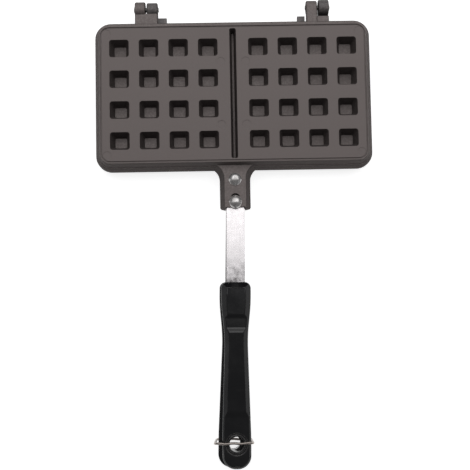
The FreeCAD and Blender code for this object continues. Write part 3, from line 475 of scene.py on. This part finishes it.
@dataclass(frozen=True)
class MouldedResin:
    """Black moulded resin with a semi-gloss skin and a painted highlight that makes its edges a little
    lighter.
    """

    name: str
    base: Colour = (0.0075, 0.0075, 0.0085)
    scuffed: Colour = (0.022, 0.021, 0.021)
    film_from: Span = (0.45, 0.75)
    film_share: Span = (0.0, 0.5)
    scratch_share: float = 0.35
    # The edge colour is a painted highlight that lightens the edges.
    edge: Colour = (0.24, 0.225, 0.22)
    edge_width: float = 0.8 * MM
    rough_from: Span = (0.35, 0.75)
    roughness: Span = (0.12, 0.22)
    level_from: Span = (0.60, 0.95)
    gloss: Span = (0.22, 0.6)
    peel_scale: float = 90.0
    peel_height: float = 0.02 * MM
    peel_strength: float = 0.35

    def material(self) -> bpy.types.Material:
        """Returns the resin's material: a faint orange peel, a film of dust and fine scratches."""
        material, tree, shader = new_material(self.name)
        skin = place_group(tree, GROUPS.casting_skin, Cloud_Scale=self.peel_scale)
        marks = place_group(tree, GROUPS.scuffs)
        highlight_node = place_group(tree, GROUPS.painted_edge_highlight, Width=self.edge_width)
        film = tree.remap(marks.outputs["Film"], self.film_from, self.film_share)
        scratches = tree.math("MULTIPLY", marks.outputs["Scratches"], self.scratch_share)
        body = tree.mix(tree.math("MAXIMUM", film, scratches), self.base, self.scuffed)
        # Painted highlight: the edges are made lighter.
        tree.feed(shader.inputs["Base Color"], tree.mix(highlight_node.outputs["Edge"], body, self.edge))
        rough = tree.remap(marks.outputs["Film"], self.rough_from, self.roughness)
        tree.feed(shader.inputs["Roughness"], rough)
        tree.feed(shader.inputs["Specular IOR Level"], tree.level(self.level_from, self.gloss))
        bump = tree.add("Bump", Strength=self.peel_strength, Distance=self.peel_height,
                        Height=skin.outputs["Clouds"])
        tree.feed(shader.inputs["Normal"], bump.outputs["Normal"])
        return material


@dataclass(frozen=True)
class StudioPaper:
    """Matt white sheet under the iron, lit softly from below as on a light table."""

    name: str = "studio_paper"
    colour: Colour = (0.80, 0.80, 0.80)
    shade: Colour = (0.77, 0.77, 0.77)
    cloud_scale: float = 3.0
    roughness: float = 0.9
    glow_colour: Colour = (1.0, 1.0, 1.0)
    glow: float = 0.80

    def material(self) -> bpy.types.Material:
        """Returns the paper's material, very faintly clouded."""
        material, tree, shader = new_material(self.name)
        skin = place_group(tree, GROUPS.casting_skin, Cloud_Scale=self.cloud_scale)
        tree.feed(shader.inputs["Base Color"], tree.mix(skin.outputs["Clouds"], self.colour, self.shade))
        tree.feed(shader.inputs["Roughness"], self.roughness)
        tree.feed(shader.inputs["Emission Color"], self.glow_colour)
        tree.feed(shader.inputs["Emission Strength"], self.glow)
        return material


def new_piece(name: str, shape: bmesh.types.BMesh) -> bpy.types.Object:
    """Turns a finished shape into a piece of the scene, with smooth faces.

    Args:
        name: the piece's name.
        shape: its shape, in the frame of the part. It is freed.

    Returns:
        The new object, at the origin.
    """
    mesh = bpy.data.meshes.new(name)
    for face in shape.faces:
        face.smooth = True
    shape.to_mesh(mesh)
    shape.free()
    piece = bpy.data.objects.new(name, mesh)
    bpy.context.scene.collection.objects.link(piece)
    return piece


def only_edges(items: Iterable[object]) -> List[bmesh.types.BMEdge]:
    """Returns the edges among the parts of a shape."""
    return [item for item in items if isinstance(item, bmesh.types.BMEdge)]


def grow_loop(shape: bmesh.types.BMesh, edges: List[bmesh.types.BMEdge]) -> LoopParts:
    """Extrudes a loop of edges without moving it.

    Args:
        shape: the shape.
        edges: the loop.

    Returns:
        The corners and the edges of the new loop.
    """
    grown = bmesh.ops.extrude_edge_only(shape, edges=edges)["geom"]
    verts = [item for item in grown if isinstance(item, bmesh.types.BMVert)]
    fresh = set(verts)
    return verts, [edge for edge in only_edges(grown) if set(edge.verts) <= fresh]


@dataclass(frozen=True)
class FaceCuts:
    """Upright planes through the middles of a piece's holes, so that no flat face goes round a whole one."""

    across: Tuple[float, ...] = ()
    along: Tuple[float, ...] = ()

    def apply(self, shape: bmesh.types.BMesh) -> None:
        """Cuts a shape along the planes, and marks the new edges as seams.

        Args:
            shape: the shape.
        """
        for square, places in ((Vector((1.0, 0.0, 0.0)), self.across), (Vector((0.0, 1.0, 0.0)), self.along)):
            for place in places:
                everything = shape.verts[:] + shape.edges[:] + shape.faces[:]
                cut = bmesh.ops.bisect_plane(shape, geom=everything, dist=CUT_CLOSENESS, plane_no=square,
                                             plane_co=square * place)
                for edge in only_edges(cut["geom_cut"]):
                    edge.seam = True


def room_along(vert: bmesh.types.BMVert, edge: bmesh.types.BMEdge, face: bmesh.types.BMFace) -> float:
    """Measures how far a rounding of an edge can reach into a face from one end of the edge.

    Args:
        vert: the end of the edge.
        edge: the edge.
        face: one of the two faces that meet in it.

    Returns:
        The reach, or infinity where the face's border runs straight on.
    """
    others = [other for other in vert.link_edges if other is not edge and face in other.link_faces]
    way = (edge.other_vert(vert).co - vert.co).normalized()
    reaches = [math.inf]
    for other in others:
        run = other.other_vert(vert).co - vert.co
        across = run.cross(way).length
        if across > STRAIGHT_ON_SHARE * run.length:
            reaches.append(across)
    return min(reaches)


def weigh_edges(shape: bmesh.types.BMesh, width: float, sharpest: float) -> None:
    """Gives each sharp edge the share of the full rounding that its surroundings have room for.

    Args:
        shape: the shape.
        width: the width of the full rounding.
        sharpest: the angle in radians from which an edge is rounded.
    """
    weights = shape.edges.layers.float.new("bevel_weight_edge")
    for edge in shape.edges:
        if len(edge.link_faces) != 2 or edge.calc_face_angle(0.0) < sharpest:
            continue
        room = min(room_along(vert, edge, face) for vert in edge.verts for face in edge.link_faces)
        edge[weights] = min(1.0, ROUNDING_ROOM_SHARE * room / width)


def mark_creases(shape: bmesh.types.BMesh, sharpest: float) -> None:
    """Marks the edges where the light breaks.

    Args:
        shape: the shape.
        sharpest: the angle in radians from which an edge is a crease.
    """
    for edge in shape.edges:
        if len(edge.link_faces) != 2 or edge.calc_face_angle(0.0) >= sharpest:
            edge.smooth = False


def even_normals(piece: bpy.types.Object) -> None:
    """Lets the large faces of a piece keep their own light, with the small ones between them blending."""
    weighted = piece.modifiers.new("even_normals", "WEIGHTED_NORMAL")
    weighted.mode = "FACE_AREA"
    weighted.weight = FULL_AREA_INFLUENCE
    weighted.keep_sharp = True


def soften_edges(piece: bpy.types.Object, width: float, segments: int) -> None:
    """Rounds the edges of a piece by the share that each one carries.

    Args:
        piece: the piece, with its edges weighed.
        width: the width of the full rounding.
        segments: how many faces the rounding has.
    """
    bevel = piece.modifiers.new("edge_rounding", "BEVEL")
    bevel.width = width
    bevel.segments = segments
    bevel.limit_method = "WEIGHT"
    bevel.use_clamp_overlap = False
    bevel.harden_normals = True
    bevel.miter_outer = "MITER_SHARP"


@dataclass
class FramedPiece:
    """A piece that keeps the solid form of its node, with its edges rounded as the real one's are."""

    node: str
    body: str
    slot: str
    finish: Finish
    rounding: float = 0.4 * MM
    segments: int = 3
    edges: EdgeRounding = EdgeRounding.SHAPED
    cuts: FaceCuts = FaceCuts()
    merge_distance: float = 0.002 * MM
    flat_angle: float = math.radians(0.6)
    sharp_angle: float = math.radians(11.0)
    crease_angle: float = math.radians(24.0)

    def shape(self, frame: dict) -> bmesh.types.BMesh:
        """Makes the node's form one closed shape with its flat faces whole.


        Returns:
            The shape, with its edges weighed for rounding, or marked as creases.
        """
        shape = bmesh.new()
        shape.from_mesh(frame["nodes"][self.node].data)
        bmesh.ops.remove_doubles(shape, verts=shape.verts[:], dist=self.merge_distance)
        self.cuts.apply(shape)
        bmesh.ops.dissolve_limit(shape, angle_limit=self.flat_angle, verts=shape.verts[:],
                                 edges=shape.edges[:], delimit={"SEAM"})
        for layer in list(shape.loops.layers.float_vector.values()):
            shape.loops.layers.float_vector.remove(layer)
        if self.edges is EdgeRounding.SHADED:
            mark_creases(shape, self.crease_angle)
        else:
            weigh_edges(shape, self.rounding, self.sharp_angle)
        return shape

    def build(self, frame: dict) -> bpy.types.Object:
        """Builds the dressed piece.


        Returns:
            The piece, riding on its body and standing for its node.
        """
        piece = new_piece(self.node + "_dressed", self.shape(frame))
        spare = piece.data.attributes.get("custom_normal")
        if spare is not None:
            piece.data.attributes.remove(spare)
        if self.edges is EdgeRounding.SHADED:
            even_normals(piece)
        else:
            soften_edges(piece, self.rounding, self.segments)
        return settle(piece, self.body, self.finish, self.node)


def settle(piece: bpy.types.Object, body: str, finish: Finish, node: str) -> bpy.types.Object:
    """Gives a piece its finish, its body and the node that it stands for.

    Args:
        piece: the piece, in place.
        body: the body that it rides on.
        finish: the finish.
        node: the node that it replaces.

    Returns:
        The same piece.
    """
    piece.data.materials.clear()
    piece.data.materials.append(finish.material())
    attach(piece, body)
    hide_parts(node)
    LOG.info("%s: %d faces, rides on %s, stands for %s", piece.name, len(piece.data.polygons), body, node)
    return piece


@dataclass
class StrapRivets:
    """The two rivets that hold a strap to its tang: a domed head outside and a set tail inside."""

    side: Side
    finish: RolledSteel
    places_y: Tuple[float, float] = (-72.3 * MM, -91.4 * MM)
    head_radius: float = 5.6 * MM
    head_height: float = 3.2 * MM
    rim_height: float = 0.35 * MM
    shank_radius: float = 2.7 * MM
    tail_radius: float = 3.9 * MM
    tail_height: float = 1.1 * MM
    rounding: float = 0.3 * MM
    segments: int = 3
    sharp_angle: float = math.radians(30.0)
    sides: int = 48

    def build(self) -> bpy.types.Object:
        """Builds both rivets as one piece.

        Returns:
            The piece.
        """
        node = self.side.node("rivets")
        low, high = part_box(node)
        outer = high.z if self.side is Side.UPPER else low.z
        inner = low.z if self.side is Side.UPPER else high.z
        shape = bmesh.new()
        for place_y in self.places_y:
            self.add_rivet(shape, Vector((0.0, place_y, 0.0)), outer, inner)
        bmesh.ops.recalc_face_normals(shape, faces=shape.faces[:])
        weigh_edges(shape, self.rounding, self.sharp_angle)
        piece = new_piece(node + "_dressed", shape)
        soften_edges(piece, self.rounding, self.segments)
        return settle(piece, self.side.body, self.finish, node)

    def add_rivet(self, shape: bmesh.types.BMesh, place: Vector, outer: float, inner: float) -> None:
        """Adds one rivet.

        Args:
            shape: the shape that it goes into.
            place: its axis.
            outer: the height of the top of its domed head.
            inner: the height of the end of its tail.
        """
        sign = self.side.sign
        cap = self.head_height - self.rim_height
        ball = (self.head_radius**2 + cap**2) / (2.0 * cap)
        centre = Vector((place.x, place.y, outer - sign * ball))
        rim = outer - sign * cap
        made = bmesh.ops.create_uvsphere(shape, u_segments=self.sides, v_segments=self.sides, radius=ball)
        bmesh.ops.translate(shape, vec=centre, verts=made["verts"])
        geometry = made["verts"] + list({edge for vert in made["verts"] for edge in vert.link_edges})
        geometry += list({face for vert in made["verts"] for face in vert.link_faces})
        cut = bmesh.ops.bisect_plane(shape, geom=geometry, dist=CUT_CLOSENESS, plane_co=(0.0, 0.0, rim),
                                     plane_no=(0.0, 0.0, sign), clear_inner=True)
        edges = only_edges(cut["geom_cut"])
        length = abs(outer - inner)
        tail_start = length - self.tail_height
        rows = ((self.head_radius, self.head_height), (self.shank_radius, self.head_height),
                (self.shank_radius, tail_start), (self.tail_radius, tail_start), (self.tail_radius, length))
        radius = self.head_radius
        for next_radius, depth in rows:
            verts, edges = grow_loop(shape, edges)
            share = next_radius / radius
            for vert in verts:
                vert.co.x = place.x + (vert.co.x - place.x) * share
                vert.co.y = place.y + (vert.co.y - place.y) * share
                vert.co.z = outer - sign * depth
            radius = next_radius
        bmesh.ops.edgeloop_fill(shape, edges=edges)


@dataclass
class LockingRing:
    """The bent wire loop that holds the two grips together."""

    finish: RolledSteel
    wire_radius: float = 1.05 * MM
    corner_radius: float = 4.0 * MM
    narrowing: float = 1.3 * MM
    wave: float = 0.28 * MM
    waves: float = 2.6
    steps: int = 8
    wire_sides: int = 14
    span_cuts: int = 10

    def build(self) -> bpy.types.Object:
        """Builds the loop inside its node's box.

        Returns:
            The piece.
        """
        low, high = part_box("locking_ring")
        middle_y = 0.5 * (low.y + high.y)
        inset = Vector((self.wire_radius, 0.0, self.wire_radius))
        bottom, top = low + inset, high - inset
        corners = [Vector((bottom.x, middle_y, top.z)), Vector((top.x, middle_y, top.z)),
                   Vector((top.x - self.narrowing, middle_y, bottom.z)),
                   Vector((bottom.x + self.narrowing, middle_y, bottom.z))]
        shape = self.bend_wire(corners)
        span = top.x - bottom.x
        for vert in shape.verts:
            share = (vert.co.x - bottom.x) / span
            vert.co.y += self.wave * math.sin(2.0 * math.pi * self.waves * share)
        piece = new_piece("locking_ring_wire", shape)
        return settle(piece, "ring", self.finish, "locking_ring")

    def bend_wire(self, corners: List[Vector]) -> bmesh.types.BMesh:
        """Bends a round wire round a closed loop of corners.

        Args:
            corners: the corners of its centre line, in order and in one upright plane.

        Returns:
            The closed wire.
        """
        shape = bmesh.new()
        start = 0.5 * (corners[-1] + corners[0])
        heading = (corners[0] - start).normalized()
        across = Vector((0.0, 1.0, 0.0))
        turn = Matrix((across, heading.cross(across), heading)).transposed().to_4x4()
        made = bmesh.ops.create_circle(shape, segments=self.wire_sides, radius=self.wire_radius,
                                       matrix=Matrix.Translation(start) @ turn)
        edges = list({edge for vert in made["verts"] for edge in vert.link_edges})
        place = start
        for index, corner in enumerate(corners):
            following = corners[(index + 1) % len(corners)]
            leaving = (following - corner).normalized()
            angle = heading.angle(leaving)
            setback = self.corner_radius * math.tan(0.5 * angle)
            edges = self.run_on(shape, edges, corner - heading * setback - place)
            axis = heading.cross(leaving).normalized()
            centre = corner - heading * setback + axis.cross(heading) * self.corner_radius
            spun = bmesh.ops.spin(shape, geom=edges, cent=centre, axis=axis, angle=angle, steps=self.steps)
            edges = only_edges(spun["geom_last"])
            place = corner + leaving * setback
            heading = leaving
        self.run_on(shape, edges, start - place)
        bmesh.ops.remove_doubles(shape, verts=shape.verts[:], dist=WIRE_CLOSENESS)
        bmesh.ops.recalc_face_normals(shape, faces=shape.faces[:])
        return shape

    def run_on(self, shape: bmesh.types.BMesh, edges: List[bmesh.types.BMEdge],
               way: Vector) -> List[bmesh.types.BMEdge]:
        """Draws the wire straight on.

        Args:
            shape: the wire's shape.
            edges: the loop of edges at its end.
            way: how far it goes, as a vector.

        Returns:
            The loop of edges at its new end.
        """
        for _ in range(self.span_cuts):
            verts, edges = grow_loop(shape, edges)
            bmesh.ops.translate(shape, vec=way / self.span_cuts, verts=verts)
        return edges


@dataclass
class Studio:
    """The paper, the lights and the camera.

    Lengths are in metres, but those of the lens and the sensor in millimetres. Powers are in watts and
    turns in radians.
    """

    paper_side: float = 6.0
    paper_squares: int = 8
    paper_finish: StudioPaper = StudioPaper()
    soft_box_place: Place = (0.10, 1.12, 1.6)
    soft_box_size: Size = (3.0, 2.4)
    soft_box_power: float = 29.0
    strip_distance: float = 0.75
    strip_height: float = 0.26
    strip_middle: float = -0.12
    strip_size: Size = (0.22, 1.3)
    strip_power: float = 0.15
    room_colour: Colour = (0.92, 0.93, 0.95)
    room_strength: float = 0.14
    camera_place: Place = (-0.01142, -0.17654, 0.81481)
    camera_turns: Axes = (-0.072106, 0.01323, 0.017507)
    lens: float = 71.94
    sensor: float = 36.0

    def build(self) -> None:
        """Sets up the whole studio."""
        self.lay_paper()
        x, y, _ = self.soft_box_place
        self.hang_light("soft_box", self.soft_box_place, (x, y, 0.0), self.soft_box_size, self.soft_box_power)
        for name, way in (("left_strip", -1.0), ("right_strip", 1.0)):
            place = (way * self.strip_distance, self.strip_middle, self.strip_height)
            self.hang_light(name, place, (0.0, self.strip_middle, 0.0), self.strip_size, self.strip_power)
        self.light_room()
        self.place_camera()

    def lay_paper(self) -> None:
        """Lays the paper that the iron stands on."""
        shape = bmesh.new()
        bmesh.ops.create_grid(shape, x_segments=self.paper_squares, y_segments=self.paper_squares,
                              size=0.5 * self.paper_side)
        paper = new_piece("studio_paper", shape)
        paper.data.materials.append(self.paper_finish.material())

    @staticmethod
    def hang_light(name: str, place: Place, aim: Place, size: Size, power: float) -> None:
        """Hangs a soft rectangular light.

        Args:
            name: the light's name.
            place: where it hangs.
            aim: the point that it looks at.
            size: its width and length.
            power: its power in watts.
        """
        data = bpy.data.lights.new(name, "AREA")
        data.shape = "RECTANGLE"
        data.size, data.size_y = size
        data.energy = power
        light = bpy.data.objects.new(name, data)
        light.location = place
        light.rotation_euler = (Vector(aim) - Vector(place)).to_track_quat("-Z", "Y").to_euler()
        bpy.context.scene.collection.objects.link(light)

    def light_room(self) -> None:
        """Gives the room its soft even light."""
        world = bpy.data.worlds.new("studio_room")
        world.use_nodes = True
        background = world.node_tree.nodes["Background"]
        background.inputs["Color"].default_value = (*self.room_colour, 1.0)
        background.inputs["Strength"].default_value = self.room_strength
        bpy.context.scene.world = world

    def place_camera(self) -> None:
        """Sets the camera at the photograph's angle."""
        data = bpy.data.cameras.new("photograph_camera")
        data.lens = self.lens
        data.sensor_width = self.sensor
        camera = bpy.data.objects.new("photograph_camera", data)
        about_x, about_y, about_z = (Matrix.Rotation(turn, 3, axis)
                                     for turn, axis in zip(self.camera_turns, "XYZ"))
        seen = about_z @ about_y @ about_x
        camera.matrix_world = Matrix.Translation(self.camera_place) @ seen.transposed().to_4x4()
        bpy.context.scene.collection.objects.link(camera)
        bpy.context.scene.camera = camera


# Along the handles: the straps carry a painted dark reflection in smudged patches towards the grips, and
# painted shade, black, deep inside the tangs.
STRAP_PAINTED_DARK_REFLECTION: Span = (-138.0 * MM, -160.0 * MM)
STRAP_PAINTED_DEEP_SHADE: Span = (-92.6 * MM, -92.0 * MM)
# The rivets are darker in smudged patches all over, because both of them lie beyond the end of this span.
RIVET_DARK_PATCHES: Span = (0.0, -10.0 * MM)


@dataclass
class WaffleIron:
    """The whole iron: two halves, the hinge pins and the locking ring."""

    frame: dict
    upper_coat: CoatedCasting = CoatedCasting("upper_coat")
    # The same coat as the upper plate's, painted darker and cooler as painted shade, for the lower plate lies
    # in the upper plate's shade.
    lower_coat_in_shade: CoatedCasting = CoatedCasting(
        "lower_coat_in_shade", dark=(0.098, 0.091, 0.090), light=(0.131, 0.123, 0.122), edge=(0.196, 0.185, 0.181))
    strap: RolledSteel = RolledSteel("strap_steel", dark_patch_span=STRAP_PAINTED_DARK_REFLECTION, deep_shade_span=STRAP_PAINTED_DEEP_SHADE)
    # The same steel as the upper strap's, painted much darker as painted shade, for the lower strap lies in
    # shade under the upper half.
    lower_strap_in_shade: RolledSteel = RolledSteel(
        "lower_strap_steel_in_shade", bright=(0.36, 0.35, 0.35), dull=(0.25, 0.24, 0.24),
        dark_patch_span=STRAP_PAINTED_DARK_REFLECTION, deep_shade_span=STRAP_PAINTED_DEEP_SHADE)
    rivet: RolledSteel = RolledSteel(
        "rivet_steel", bright=(0.97, 0.95, 0.94), dull=(0.80, 0.78, 0.77), dark_patch=(0.50, 0.48, 0.47),
        dark_patch_span=RIVET_DARK_PATCHES, line_height=0.02 * MM, metal_share=0.85, roughness=(0.18, 0.38))
    pin: RolledSteel = RolledSteel(
        "pin_steel", bright=(0.20, 0.19, 0.185), dull=(0.13, 0.125, 0.12), roughness=(0.3, 0.45))
    wire: RolledSteel = RolledSteel(
        "wire_steel", bright=(0.46, 0.41, 0.38), dull=(0.30, 0.27, 0.25), roughness=(0.2, 0.36))
    screw: RolledSteel = RolledSteel("screw_steel", bright=(0.55, 0.55, 0.54), dull=(0.42, 0.42, 0.41))
    resin: MouldedResin = MouldedResin("grip_resin")
    strap_rounding: float = 0.4 * MM
    grip_rounding: float = 0.7 * MM
    screw_rounding: float = 0.15 * MM
    pin_rounding: float = 0.25 * MM
    column_places: Tuple[float, ...] = (21.2 * MM, 46.2 * MM, 71.2 * MM, 96.2 * MM)
    row_places: Tuple[float, ...] = (13.15 * MM, 39.45 * MM)
    mark_places: Tuple[float, ...] = (27.0 * MM, 52.0 * MM)
    screw_place: float = -209.06 * MM
    hang_hole_place: float = -293.35 * MM
    knuckle_places: Tuple[float, ...] = (64.05 * MM, 74.05 * MM)
    hinge_place: float = 77.4 * MM

    def build(self) -> None:
        """Builds every piece in order, from the lower half to the ring."""
        self.build_half(Side.LOWER, self.lower_coat_in_shade, self.lower_strap_in_shade)
        self.build_half(Side.UPPER, self.upper_coat, self.strap)
        for hand in ("left", "right"):
            FramedPiece(hand + "_hinge_pin", "base", "pin_steel", self.pin,
                        rounding=self.pin_rounding).build(self.frame)
        LockingRing(self.wire).build()

    def build_half(self, side: Side, coat: CoatedCasting, strap: RolledSteel) -> None:
        """Builds one half of the iron.

        Args:
            side: which half.
            coat: the finish of its plate.
            strap: the finish of its strap.
        """
        rivets = StrapRivets(side, self.rivet)
        places = self.column_places + self.knuckle_places
        columns = tuple(way * place for place in places for way in (-1.0, 1.0))
        rows = tuple(way * place for place in self.row_places + self.mark_places for way in (-1.0, 1.0))
        plate_cuts = FaceCuts(columns + (0.0,), rows + rivets.places_y + (self.hinge_place,))
        FramedPiece(side.node("plate"), side.body, "coated_casting", coat, cuts=plate_cuts,
                    edges=EdgeRounding.SHADED).build(self.frame)
        strap_cuts = FaceCuts(along=rivets.places_y + (self.screw_place,))
        FramedPiece(side.node("handle_strap"), side.body, "strap_steel", strap,
                    rounding=self.strap_rounding, cuts=strap_cuts).build(self.frame)
        rivets.build()
        grip_cuts = FaceCuts(along=(self.screw_place, self.hang_hole_place))
        FramedPiece(side.node("grip"), side.body, "grip_resin", self.resin,
                    rounding=self.grip_rounding, cuts=grip_cuts).build(self.frame)
        FramedPiece(side.node("grip_screw"), side.body, "screw_steel", self.screw,
                    rounding=self.screw_rounding).build(self.frame)


def main() -> None:
    """Loads the frame, dresses the iron and sets up the studio."""
    logging.basicConfig(level=logging.INFO, format="%(message)s")
    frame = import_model()
    WaffleIron(frame).build()
    Studio().build()
    bpy.context.scene.view_settings.view_transform = "Standard"


if __name__ == "__main__":
    main()
